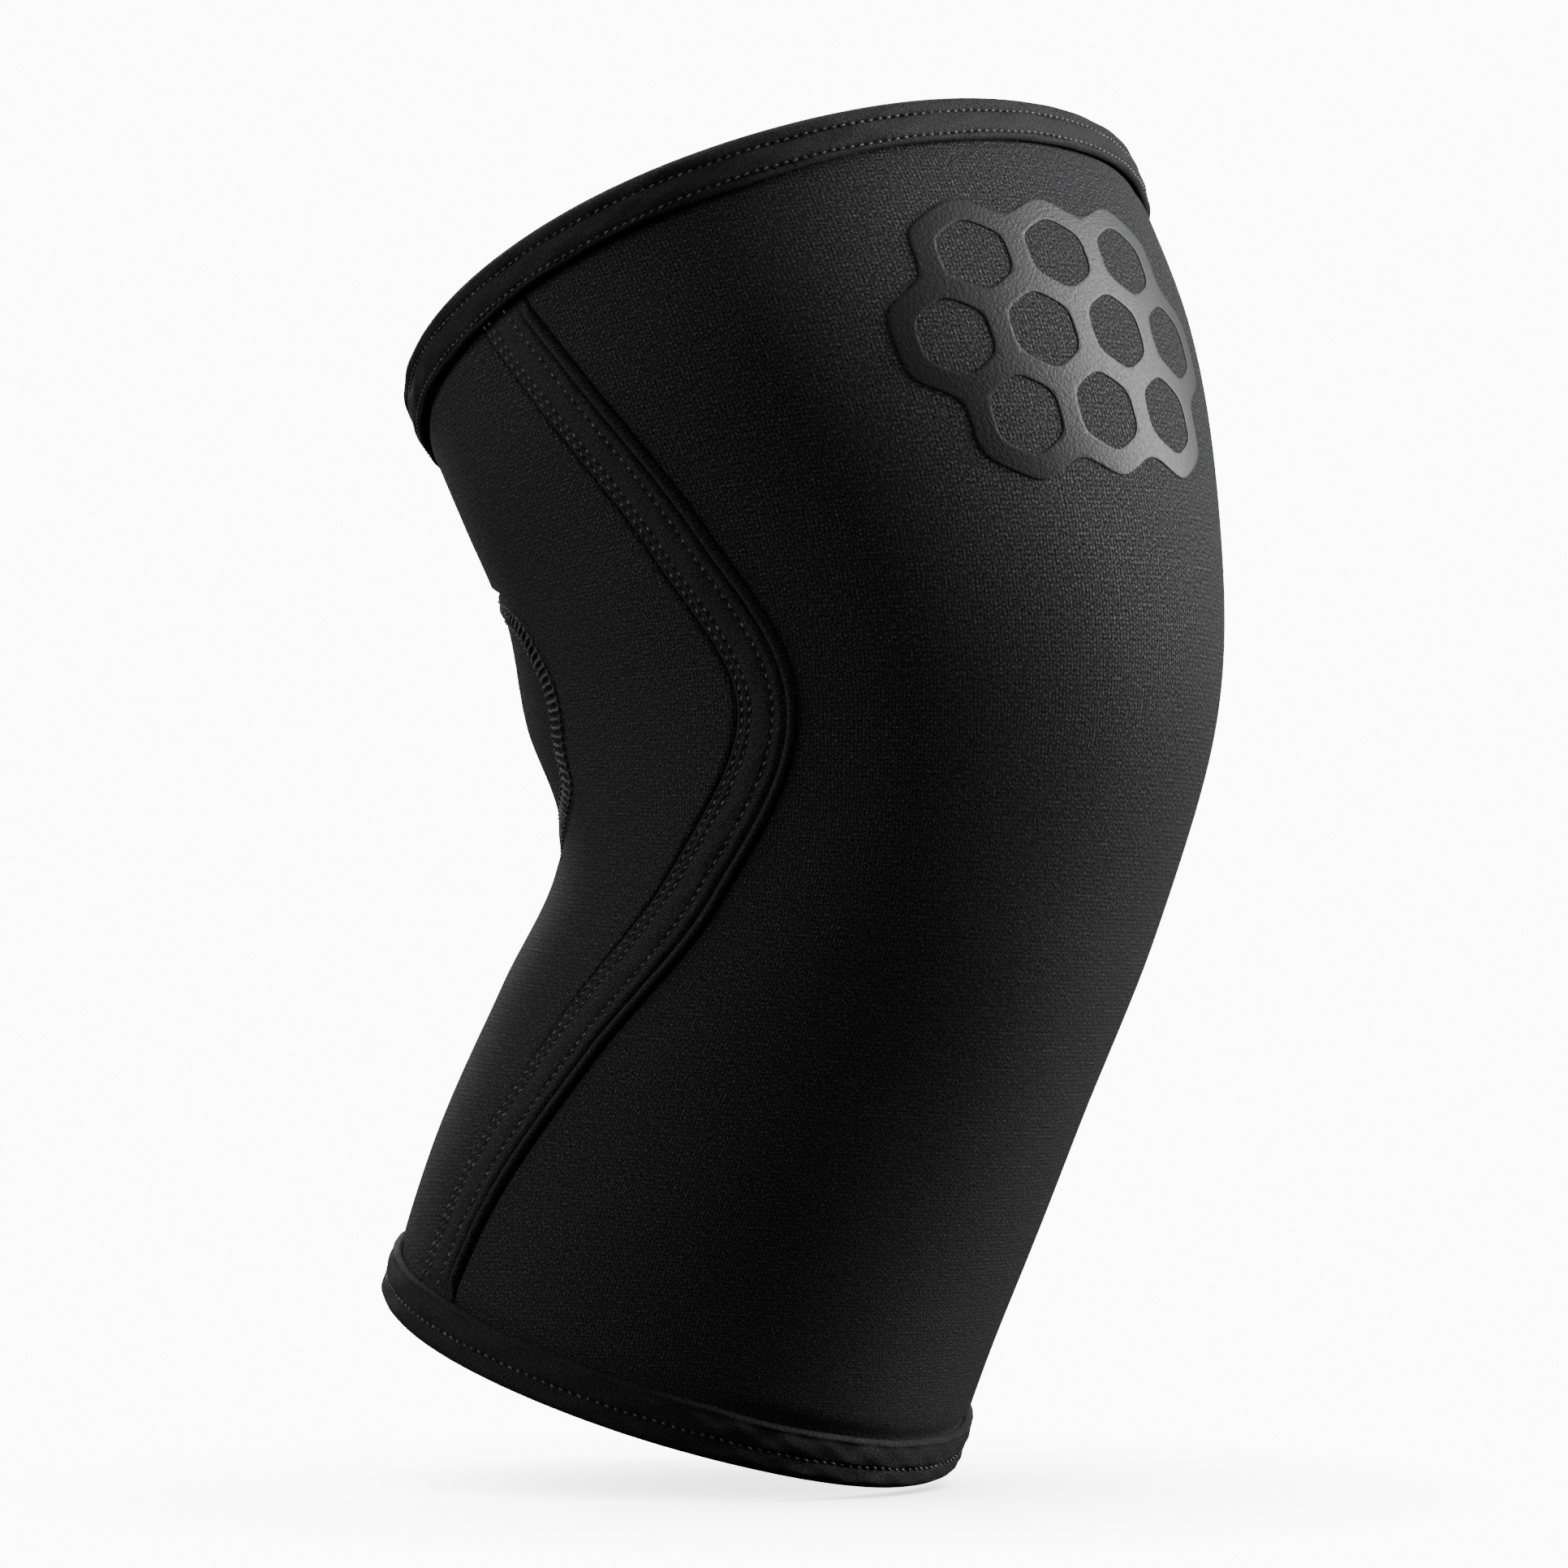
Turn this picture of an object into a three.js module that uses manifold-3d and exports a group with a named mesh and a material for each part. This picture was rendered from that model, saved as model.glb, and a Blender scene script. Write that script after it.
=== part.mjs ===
// A pull-on knee sleeve of padded rubber sheet, in the shape that it has on a bent knee.
// Millimetres. Z is up, the kneecap faces -Y, and the left and right halves mirror each other in X.
// The origin is in the middle of the hollow, at the height where the leg bends.

import * as THREE from 'three';
import Module from 'manifold-3d';
import { mergeVertices } from 'three/addons/utils/BufferGeometryUtils.js';

// Sheet, tape and film
const wall = 5;
const clearance = 0.3;
const tapeThickness = 1.1;
const insertThickness = 4.3;
const filmThickness = 0.3;

// Leg line: each rim's centre from the origin, and how far each rim leans
const thighLength = 98;
const shinLength = 140;
const thighSetBack = 25;
const shinSetBack = 51;
const thighTilt = 24;
const shinTilt = 20;

// Outside sizes of the three main sections, front to back and side to side
const thighDepth = 160;
const thighWidth = 181;
const kneeDepth = 153;
const kneeWidth = 133;
const calfDepth = 130;
const calfWidth = 127;

// How much narrower than their rear halves the front halves are, as on an egg
const thighTaper = 0.01;
const kneeTaper = 0.08;
const calfTaper = 0.12;

// The kneecap's low dome
const kneecapRise = 4;
const kneecapHeight = 16;
const kneecapReach = 36;

// Side seams: degrees from the middle of the front, and the strip that covers each
const thighSeamAngle = 102;
const kneeSeamAngle = 77;
const calfSeamAngle = 116;
const bandWidth = 12.6;
const bandRise = 0.5;
const bandBevel = 0.75;
const grooveWidth = 1.3;
const grooveRise = 0.05;
const rollWidth = 2.4;
const rollHeight = 1;

// Hems: bindings folded over the two rims. The seam strips lie flat from some way below them.
const thighHemWidth = 10.3;
const calfHemWidth = 11.5;
const foldRadius = 1.6;
const bandRunOut = 4;
const bandRunOutLength = 3;

// Insert behind the knee
const insertHeight = 64;
const insertWidth = 162;
const insertCentre = 2;
const insertGap = 0.4;

// Grip print above the kneecap
const printAngle = 14;
const printHeight = 57;
const printCell = 20.5;
const printStroke = 5;
const printRows = [3, 4, 3];

// Mesh steps
const rowCount = 26;
const frontSteps = 24;
const rearSteps = 22;
const hemSteps = 60;
const insertSteps = 46;
const insertRings = 5;
const cutterRings = 12;

const degree = Math.PI / 180;

// Sections from the lower rim to the upper one, as shares of the sizes at their own end of the leg.
// reach: distance from the knee. setBack: move to the rear. turn: lean of the section.
// swell: change of size from the knee's to the rim's. seam: move of the side seam.
const sections = [
  { end: 'shin', reach: 1.0, setBack: 1.0, turn: 1.0, swell: 1.0, seam: 1.0 },
  { end: 'shin', reach: 0.75, setBack: 0.725, turn: 1.0, swell: 0.94, seam: 0.85 },
  { end: 'shin', reach: 0.5, setBack: 0.37, turn: 0.85, swell: 1.04, seam: 0.63 },
  { end: 'shin', reach: 0.25, setBack: 0.03, turn: 0.5, swell: 1.0, seam: 0.32 },
  { end: 'shin', reach: 0.0, setBack: 0.0, turn: 0.0, swell: 0.0, seam: 0.0 },
  { end: 'thigh', reach: 0.33, setBack: 0.07, turn: 0.4, swell: 0.4, seam: 0.34 },
  { end: 'thigh', reach: 0.67, setBack: 0.42, turn: 0.8, swell: 0.86, seam: 0.7 },
  { end: 'thigh', reach: 1.0, setBack: 1.0, turn: 1.0, swell: 1.0, seam: 1.0 },
];

const legEnds = {
  shin: {
    side: -1, length: shinLength, setBack: shinSetBack, tilt: shinTilt,
    depth: calfDepth, width: calfWidth, taper: calfTaper, seam: calfSeamAngle,
  },
  thigh: {
    side: 1, length: thighLength, setBack: thighSetBack, tilt: thighTilt,
    depth: thighDepth, width: thighWidth, taper: thighTaper, seam: thighSeamAngle,
  },
};

function sectionRow(row) {
  const end = legEnds[row.end];
  const mix = THREE.MathUtils.lerp;
  return {
    height: end.side * end.length * row.reach,
    sizes: [
      end.setBack * row.setBack,
      end.side * end.tilt * row.turn * degree,
      mix(kneeDepth, end.depth, row.swell) / 2,
      mix(kneeWidth, end.width, row.swell) / 2,
      mix(kneeTaper, end.taper, row.swell),
      mix(kneeSeamAngle, end.seam, row.seam) * degree,
    ],
  };
}

const sectionRows = sections.map(sectionRow);
const sectionCurve = new THREE.CubicInterpolant(
  sectionRows.map((row) => row.height),
  sectionRows.flatMap((row) => row.sizes),
  sectionRows[0].sizes.length,
);

function sectionAt(height) {
  const [setBack, tilt, halfDepth, halfWidth, taper, seam] = sectionCurve.evaluate(height);
  return { setBack, tilt, halfDepth, halfWidth, taper, seam };
}

// The kneecap's low dome, as a rise of the outer face
function kneecapDome(angle, height) {
  const around = (angle * kneeWidth) / 2 / kneecapReach;
  const along = (height - kneecapHeight) / kneecapReach;
  return kneecapRise * Math.exp(-around * around - along * along);
}

// A point of the outer face. The angle is 0 at the front and grows towards -X.
function facePoint(angle, height) {
  const { setBack, tilt, halfDepth, halfWidth, taper } = sectionAt(height);
  const turn = THREE.MathUtils.euclideanModulo(angle + Math.PI, 2 * Math.PI) - Math.PI;
  const forward = (halfDepth + kneecapDome(turn, height)) * Math.cos(angle);
  return new THREE.Vector3(
    -halfWidth * Math.sin(angle) * (1 - taper * Math.cos(angle)),
    setBack - forward * Math.cos(tilt),
    height + forward * Math.sin(tilt),
  );
}

// Steps for slopes of the face and of the seam line
const probe = 0.01;
const seamProbe = 1;

function aroundSlope(angle, height) {
  const step = probe * degree;
  return facePoint(angle + step, height).sub(facePoint(angle - step, height)).divideScalar(2 * step);
}

function alongSlope(angle, height) {
  return facePoint(angle, height + probe).sub(facePoint(angle, height - probe)).divideScalar(2 * probe);
}

// A point at a distance outside the outer face, or inside it where the distance is negative
function skinPoint(angle, height, out) {
  const low = Math.max(height, -shinLength + probe);
  const inside = Math.min(low, thighLength - probe);
  const normal = alongSlope(angle, inside).cross(aroundSlope(angle, inside)).normalize();
  return facePoint(angle, height).addScaledVector(normal, out);
}

// Height of a place that lies a distance down from a rim, measured on the face
function heightFromRim(end, angle, distance) {
  const inside = end.side * (end.length - probe);
  const stretch = alongSlope(angle, inside).length();
  return end.side * (end.length - distance / stretch);
}

// Height of a row of the panels, from 0 at their lower edges to 1 at their upper ones
function rowHeight(share, angle) {
  const inset = tapeThickness + clearance;
  const low = heightFromRim(legEnds.shin, angle, inset);
  const high = heightFromRim(legEnds.thigh, angle, inset);
  return THREE.MathUtils.lerp(low, high, share);
}

// Height at which a row meets the side seam
function seamHeight(share) {
  let height = rowHeight(share, Math.PI / 2);
  for (let pass = 0; pass < 3; pass += 1) {
    height = rowHeight(share, sectionAt(height).seam);
  }
  return height;
}

// Angle of a line that runs beside the seam, a distance in front of it or, if negative, behind it
function besideSeam(height, distance) {
  const inside = THREE.MathUtils.clamp(height, seamProbe - shinLength, thighLength - seamProbe);
  const [low, high] = [inside - seamProbe, inside + seamProbe];
  const seam = sectionAt(inside).seam;
  const path = facePoint(sectionAt(high).seam, high).sub(facePoint(sectionAt(low).seam, low));
  const spread = aroundSlope(seam, inside).cross(path).length() / path.length();
  return sectionAt(height).seam - distance / spread;
}

// A closed body from a flat section carried along stations. place(share, point) sets each corner.
// The section's first half runs along its outer face and its second half back along its inner one.
function sweep(section, steps, place, isLoop) {
  const corners = section.length;
  const stations = isLoop ? steps : steps + 1;
  const positions = [];
  for (let station = 0; station < stations; station += 1) {
    for (const point of section) {
      positions.push(...place(station / steps, point).toArray());
    }
  }
  const faces = [];
  for (let step = 0; step < steps; step += 1) {
    const here = step * corners;
    const next = ((step + 1) % stations) * corners;
    for (let corner = 0; corner < corners; corner += 1) {
      const turn = (corner + 1) % corners;
      addQuad(faces, here + corner, next + corner, next + turn, here + turn);
    }
  }
  const last = steps * corners;
  for (let corner = 0; !isLoop && corner < corners / 2 - 1; corner += 1) {
    const [a, b, c, d] = [corner, corner + 1, corners - 2 - corner, corners - 1 - corner];
    addQuad(faces, a, b, c, d);
    addQuad(faces, last + d, last + c, last + b, last + a);
  }
  return closedGeometry(positions, faces);
}

function addQuad(faces, a, b, c, d) {
  faces.push(a, b, c, a, c, d);
}

// A geometry whose faces all point out
function closedGeometry(positions, faces) {
  const geometry = new THREE.BufferGeometry();
  geometry.setAttribute('position', new THREE.Float32BufferAttribute(positions, 3));
  geometry.setIndex(signedVolume(positions, faces) < 0 ? faces.toReversed() : faces);
  return geometry;
}

function signedVolume(positions, faces) {
  const [a, b, c] = [new THREE.Vector3(), new THREE.Vector3(), new THREE.Vector3()];
  let volume = 0;
  for (let face = 0; face < faces.length; face += 3) {
    a.fromArray(positions, faces[face] * 3);
    b.fromArray(positions, faces[face + 1] * 3);
    c.fromArray(positions, faces[face + 2] * 3);
    volume += a.dot(b.cross(c)) / 6;
  }
  return volume;
}

// A strip of sheet as a flat section: x runs across it from 0 to 1, y is the distance outside the face
function sheetSection(steps, top, bottom) {
  const outer = [];
  const inner = [];
  for (let step = 0; step <= steps; step += 1) {
    outer.push(new THREE.Vector2(step / steps, top));
    inner.unshift(new THREE.Vector2(step / steps, bottom));
  }
  return [...outer, ...inner];
}

const panelEdge = bandWidth / 2 + clearance;

function frontPanel() {
  return sweep(sheetSection(frontSteps, 0, -wall), rowCount, (share, { x, y }) => {
    const height = seamHeight(share);
    const edge = besideSeam(height, panelEdge);
    const angle = edge * (2 * x - 1);
    const shift = height - rowHeight(share, edge);
    return skinPoint(angle, rowHeight(share, angle) + shift * Math.abs(2 * x - 1), y);
  });
}

function rearSheet() {
  return sweep(sheetSection(rearSteps, 0, -wall), rowCount, (share, { x, y }) => {
    const height = seamHeight(share);
    const edge = besideSeam(height, -panelEdge);
    const angle = THREE.MathUtils.lerp(edge, 2 * Math.PI - edge, x);
    const shift = height - rowHeight(share, edge);
    return skinPoint(angle, rowHeight(share, angle) + shift * Math.abs(2 * x - 1), y);
  });
}

// Cover strip of a side seam, as distances from its rear edge and out from the face.
// Its front edge is a rolled bead behind a groove.
const rollStart = bandWidth - rollWidth;
const bandSection = [
  { across: 0, rise: 0 },
  { across: bandBevel, rise: bandRise },
  { across: rollStart - grooveWidth, rise: bandRise },
  { across: rollStart, rise: grooveRise },
  { across: rollStart + rollWidth * 0.25, rise: rollHeight * 0.8 },
  { across: rollStart + rollWidth * 0.55, rise: rollHeight },
  { across: rollStart + rollWidth * 0.88, rise: rollHeight * 0.6 },
  { across: bandWidth, rise: 0 },
];

// The strip lies flush where it passes under a hem
function bandLift(height) {
  const fromThighHem = thighLength - height - thighHemWidth;
  const fromCalfHem = height + shinLength - calfHemWidth;
  const free = Math.min(fromThighHem, fromCalfHem) - bandRunOut;
  return THREE.MathUtils.smoothstep(free, 0, bandRunOutLength);
}

function seamBand(side) {
  const top = bandSection.map(({ across, rise }) => new THREE.Vector2(across, rise));
  const bottom = bandSection.map(({ across }) => new THREE.Vector2(across, -wall)).reverse();
  const section = [...top, ...bottom];
  return sweep(section, rowCount, (share, { x, y }) => {
    const height = seamHeight(share);
    const angle = besideSeam(height, x - bandWidth / 2);
    return skinPoint(side * angle, height, y > 0 ? y * bandLift(height) : y);
  });
}

// Binding folded round a rim, as distances down from the rim and out from the face.
// The half outside the face is written out, and the half inside mirrors it about the wall.
function hemSection(width) {
  const outside = clearance + tapeThickness;
  const outerHalf = [
    { down: width, out: clearance },
    { down: width, out: clearance + tapeThickness * 0.7 },
    { down: width - foldRadius / 2, out: outside },
    { down: foldRadius, out: outside },
    { down: foldRadius / 3, out: outside - foldRadius / 2 },
    { down: 0, out: -foldRadius },
  ];
  const innerHalf = outerHalf.map(({ down, out }) => ({ down, out: -wall - out })).reverse();
  const fold = [
    { down: tapeThickness, out: -wall - clearance },
    { down: tapeThickness, out: clearance },
  ];
  return [...outerHalf, ...innerHalf, ...fold].map(({ down, out }) => new THREE.Vector2(down, out));
}

function hem(end, width) {
  return sweep(hemSection(width), hemSteps, (share, { x, y }) => {
    const angle = share * 2 * Math.PI;
    return skinPoint(angle, heightFromRim(end, angle, x), y);
  }, true);
}

// Outline of the insert as shares of half its width and height, with a corner low on each side
const insertOutline = [
  { side: 0.0, rise: 1.0 },
  { side: 0.45, rise: 0.96 },
  { side: 0.8, rise: 0.78 },
  { side: 0.95, rise: 0.42 },
  { side: 1.0, rise: 0.06 },
  { side: 0.97, rise: -0.26 },
  { side: 0.93, rise: -0.56 },
  { side: 0.6, rise: -0.88 },
  { side: 0.3, rise: -0.98 },
  { side: 0.0, rise: -1.0 },
];

function insertEdge(share, growth) {
  const half = insertOutline.map(({ side, rise }) => new THREE.Vector3(side, rise, 0));
  const mirrored = half.slice(1, -1).reverse().map((point) => new THREE.Vector3(-point.x, point.y, 0));
  const curve = new THREE.CatmullRomCurve3([...half, ...mirrored], true, 'centripetal');
  const point = curve.getPoint(share);
  return new THREE.Vector2(
    point.x * (insertWidth / 2 + growth),
    point.y * (insertHeight / 2 + growth),
  );
}

// A rounded patch behind the knee, from its middle out to its edge
function rearPatch(growth, top, bottom, rings) {
  const arcTurn = 2 / kneeDepth;
  const positions = [];
  const faces = [];
  for (const out of [top, bottom]) {
    positions.push(...skinPoint(Math.PI, insertCentre, out).toArray());
    for (let ring = 1; ring <= rings; ring += 1) {
      for (let step = 0; step < insertSteps; step += 1) {
        const edge = insertEdge(step / insertSteps, growth);
        const angle = Math.PI + ((edge.x * ring) / rings) * arcTurn;
        const stretch = alongSlope(angle, insertCentre).length();
        const height = insertCentre + (edge.y * ring) / rings / stretch;
        positions.push(...skinPoint(angle, height, out).toArray());
      }
    }
  }
  const layer = 1 + rings * insertSteps;
  const rim = layer - insertSteps;
  for (let step = 0; step < insertSteps; step += 1) {
    const turn = (step + 1) % insertSteps;
    faces.push(0, 1 + step, 1 + turn);
    faces.push(layer, layer + 1 + turn, layer + 1 + step);
    for (let inner = 1; inner < rim; inner += insertSteps) {
      const outer = inner + insertSteps;
      addQuad(faces, inner + step, outer + step, outer + turn, inner + turn);
      const [below, beyond] = [layer + inner, layer + outer];
      addQuad(faces, below + turn, beyond + turn, beyond + step, below + step);
    }
    addQuad(faces, rim + turn, rim + step, layer + rim + step, layer + rim + turn);
  }
  return closedGeometry(positions, faces);
}

const wasm = await Module();
wasm.setup();

function toSolid(geometry) {
  const merged = mergeVertices(geometry);
  return new wasm.Manifold(new wasm.Mesh({
    numProp: 3,
    vertProperties: new Float32Array(merged.attributes.position.array),
    triVerts: new Uint32Array(merged.index.array),
  }));
}

function fromSolid(solid) {
  const { vertProperties, triVerts } = solid.getMesh();
  const geometry = new THREE.BufferGeometry();
  geometry.setAttribute('position', new THREE.BufferAttribute(vertProperties, 3));
  geometry.setIndex(new THREE.BufferAttribute(triVerts, 1));
  return geometry;
}

function rearPanel() {
  const overcut = wall / 5;
  const cutter = rearPatch(insertGap, overcut, -wall - overcut, cutterRings);
  return fromSolid(toSolid(rearSheet()).subtract(toSolid(cutter)));
}

// Grip print: one net of film with hexagon gaps, laid on the front of the thigh
function gripPrint() {
  const pitch = printCell * Math.sqrt(3) / 2;
  const outer = (printCell + printStroke) / Math.sqrt(3);
  const inner = (printCell - printStroke) / Math.sqrt(3);
  let net = null;
  const gaps = [];
  printRows.forEach((count, row) => {
    for (let column = 0; column < count; column += 1) {
      const x = (column - (count - 1) / 2) * printCell;
      const y = (row - (printRows.length - 1) / 2) * pitch;
      const cell = hexagonPrism(x, y, outer);
      net = net ? net.add(cell) : cell;
      gaps.push(hexagonPrism(x, y, inner, 1));
    }
  });
  return wrapOnThigh(fromSolid(gaps.reduce((solid, gap) => solid.subtract(gap), net)));
}

function hexagonPrism(x, y, radius, extra = 0) {
  const corners = [30, 90, 150, 210, 270, 330].map((turn) => new THREE.Vector2(
    x + radius * Math.cos(turn * degree),
    y + radius * Math.sin(turn * degree),
  ));
  const prism = new THREE.ExtrudeGeometry(new THREE.Shape(corners), {
    depth: filmThickness + 2 * extra,
    bevelEnabled: false,
  });
  prism.translate(0, 0, -extra);
  prism.deleteAttribute('normal');
  prism.deleteAttribute('uv');
  return toSolid(prism);
}

// Lays a flat net on the thigh: x runs around it, y up it and z out of it
function wrapOnThigh(flat) {
  const { position } = flat.attributes;
  for (let index = 0; index < position.count; index += 1) {
    const angle = printAngle * degree - position.getX(index) / (thighDepth / 2);
    const stretch = alongSlope(angle, printHeight).length();
    const height = printHeight + position.getY(index) / stretch;
    const out = clearance + position.getZ(index);
    position.setXYZ(index, ...skinPoint(angle, height, out).toArray());
  }
  return flat;
}

const finishes = {
  frontKnit: { color: 0x17171a, roughness: 0.85, metalness: 0 },
  rearKnit: { color: 0x1b1b1d, roughness: 0.88, metalness: 0 },
  ribKnit: { color: 0x151516, roughness: 0.9, metalness: 0 },
  tape: { color: 0x121213, roughness: 0.8, metalness: 0 },
  film: { color: 0x55565a, roughness: 0.45, metalness: 0 },
};

function piece(name, geometry, finish) {
  const mesh = new THREE.Mesh(geometry, new THREE.MeshStandardMaterial(finishes[finish]));
  mesh.name = name;
  return mesh;
}

const kneeSleeve = new THREE.Group();
kneeSleeve.name = 'knee_sleeve';
kneeSleeve.add(
  piece('front_panel', frontPanel(), 'frontKnit'),
  piece('rear_panel', rearPanel(), 'rearKnit'),
  piece('knee_hollow_insert', rearPatch(0, insertThickness - wall, -wall, insertRings), 'ribKnit'),
  piece('right_seam_band', seamBand(1), 'tape'),
  piece('left_seam_band', seamBand(-1), 'tape'),
  piece('thigh_hem', hem(legEnds.thigh, thighHemWidth), 'tape'),
  piece('calf_hem', hem(legEnds.shin, calfHemWidth), 'tape'),
  piece('grip_print', gripPrint(), 'film'),
);

export default kneeSleeve;
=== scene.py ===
import bpy
import numpy as np
from mathutils import Matrix, Vector


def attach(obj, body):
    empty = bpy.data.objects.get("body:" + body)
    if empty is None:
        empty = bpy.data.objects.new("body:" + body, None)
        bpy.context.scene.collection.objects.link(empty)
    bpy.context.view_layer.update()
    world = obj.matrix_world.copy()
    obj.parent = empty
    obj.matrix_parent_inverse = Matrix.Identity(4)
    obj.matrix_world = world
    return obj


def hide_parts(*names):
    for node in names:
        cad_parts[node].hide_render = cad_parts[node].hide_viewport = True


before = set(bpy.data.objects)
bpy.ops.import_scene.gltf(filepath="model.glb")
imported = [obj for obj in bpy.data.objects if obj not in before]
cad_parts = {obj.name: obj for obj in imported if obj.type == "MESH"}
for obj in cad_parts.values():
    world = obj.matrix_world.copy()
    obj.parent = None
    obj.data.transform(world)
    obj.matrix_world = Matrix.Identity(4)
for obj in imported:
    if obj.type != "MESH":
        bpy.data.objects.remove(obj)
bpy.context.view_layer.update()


# Front sheet of the sleeve, round the thigh, the kneecap and the shin. It is 5 mm foam rubber
# faced with black jersey, cut in one piece and sewn to the side seams and into the two bindings.
# The leg's form is set here, and every other piece lies on the same face.

# The sheets' thickness in mm, and the step in mm and in degrees that slopes are measured over
WALL = 5.0
PROBE = 0.01
DEGREE = np.pi / 180

# Sizes in mm. Tilts, and the places of the side seams counted from the front, are in degrees
KNEE = {"depth": 153, "width": 133, "taper": 0.08, "seam": 77}
SHIN = {
    "side": -1, "length": 140, "set_back": 51, "tilt": 20,
    "depth": 130, "width": 127, "taper": 0.12, "seam": 116,
}
THIGH = {
    "side": 1, "length": 98, "set_back": 25, "tilt": 24,
    "depth": 160, "width": 181, "taper": 0.01, "seam": 102,
}
KNEECAP = {"rise": 4, "height": 16, "reach": 36}

# Shares of the sizes at each end: reach, set back, lean, swell and move of the seam
LEG_ROWS = [
    (SHIN, 1.0, 1.0, 1.0, 1.0, 1.0),
    (SHIN, 0.75, 0.725, 1.0, 0.94, 0.85),
    (SHIN, 0.5, 0.37, 0.85, 1.04, 0.63),
    (SHIN, 0.25, 0.03, 0.5, 1.0, 0.32),
    (SHIN, 0.0, 0.0, 0.0, 0.0, 0.0),
    (THIGH, 0.33, 0.07, 0.4, 0.4, 0.34),
    (THIGH, 0.67, 0.42, 0.8, 0.86, 0.7),
    (THIGH, 1.0, 1.0, 1.0, 1.0, 1.0),
]


def leg_row(end, reach, set_back, lean, swell, seam):
    """A section of the leg: its height, and then its sizes in the order that leg_at gives."""

    def mixed(key, share):
        return KNEE[key] + (end[key] - KNEE[key]) * share

    return (
        end["side"] * end["length"] * reach,
        end["set_back"] * set_back,
        end["side"] * end["tilt"] * lean * DEGREE,
        mixed("depth", swell) / 2,
        mixed("width", swell) / 2,
        mixed("taper", swell),
        mixed("seam", seam) * DEGREE,
    )


leg_table = np.array([leg_row(*row) for row in LEG_ROWS])
leg_heights, leg_sizes = leg_table[:, 0], leg_table[:, 1:]
leg_secants = np.diff(leg_sizes, axis=0) / np.diff(leg_heights)[:, None]
leg_slopes = np.vstack([
    leg_secants[:1], (leg_secants[1:] + leg_secants[:-1]) / 2, leg_secants[-1:],
])


def leg_at(height):
    """Set back, lean, half depth, half width, taper and seam angle of the leg at a height."""
    height = np.clip(height, leg_heights[0], leg_heights[-1])
    row = np.clip(np.searchsorted(leg_heights, height, side="right"), 1, len(leg_heights) - 1) - 1
    step = leg_heights[row + 1] - leg_heights[row]
    t = ((height - leg_heights[row]) / step)[..., None]
    low, high = leg_sizes[row], leg_sizes[row + 1]
    slope_low, slope_high = leg_slopes[row] * step[..., None], leg_slopes[row + 1] * step[..., None]
    sizes = (
        (2 * t**3 - 3 * t**2 + 1) * low + (t**3 - 2 * t**2 + t) * slope_low
        + (3 * t**2 - 2 * t**3) * high + (t**3 - t**2) * slope_high
    )
    return np.moveaxis(sizes, -1, 0)


def bare_face(angle, height):
    """A point of the face in mm. The angle is 0 at the front and grows towards -X."""
    angle, height = np.broadcast_arrays(np.asarray(angle, float), np.asarray(height, float))
    set_back, lean, half_depth, half_width, taper, _ = leg_at(height)
    turn = (angle + np.pi) % (2 * np.pi) - np.pi
    around = turn * KNEE["width"] / 2 / KNEECAP["reach"]
    along = (height - KNEECAP["height"]) / KNEECAP["reach"]
    forward = (half_depth + KNEECAP["rise"] * np.exp(-around**2 - along**2)) * np.cos(angle)
    return np.stack([
        -half_width * np.sin(angle) * (1 - taper * np.cos(angle)),
        set_back - forward * np.cos(lean),
        height + forward * np.sin(lean),
    ], axis=-1)


def slopes(angle, height):
    """How the face runs with height and with angle."""
    height = np.clip(height, PROBE - SHIN["length"], THIGH["length"] - PROBE)
    along = (bare_face(angle, height + PROBE) - bare_face(angle, height - PROBE)) / (2 * PROBE)
    turn = PROBE * DEGREE
    around = (bare_face(angle + turn, height) - bare_face(angle - turn, height)) / (2 * turn)
    return along, around


# Height in mm, turns round the leg, mm up the leg for a radian, and start of each slow wave
RIPPLES = [(0.16, 3, 19, 0.6), (0.12, 5, -12, 2.1), (0.08, 8, 8, 4.0)]


def ripple(angle, height):
    """Slow unevenness that a sewn foam sheet has, in mm."""
    return sum(
        size * np.sin(turns * angle + height / climb + start)
        for size, turns, climb, start in RIPPLES
    )


def skin(angle, height, out):
    """A point at a distance outside the face, or inside it where the distance is negative."""
    along, around = slopes(angle, height)
    normal = np.cross(along, around)
    normal = normal / np.linalg.norm(normal, axis=-1, keepdims=True)
    out = out + ripple(angle, height)
    return bare_face(angle, height) + normal * np.asarray(out)[..., None]


def from_rim(end, angle, distance):
    """Height of a place that lies a distance down from a rim."""
    along, _ = slopes(angle, np.full(np.shape(angle), float(end["side"] * end["length"])))
    stretch = np.linalg.norm(along, axis=-1)
    return end["side"] * (end["length"] - distance / stretch)


# In mm: how far inside the rims the sheets end, how far they reach under the tape, the tape's
# width, how much of the face the bindings cover, and how deep and how wide they press it in
PANEL_INSET = 1.4
SEAM_TUCK = 0.35
BAND_WIDTH = 12.6
HEM_COVER = {"thigh": 10.3, "calf": 11.5}
HEM_PINCH = {"depth": 0.9, "reach": 1.7}


def row_height(share, angle):
    """Height of a row of the sheets, from 0 at their lower edge to 1 at the upper one."""
    low = from_rim(SHIN, angle, PANEL_INSET)
    high = from_rim(THIGH, angle, PANEL_INSET)
    return low + (high - low) * share


def seam_height(share):
    """Height at which a row of the sheets meets the side seam."""
    height = row_height(share, np.full(np.shape(share), np.pi / 2))
    for _ in range(3):
        height = row_height(share, leg_at(height)[5])
    return height


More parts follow.
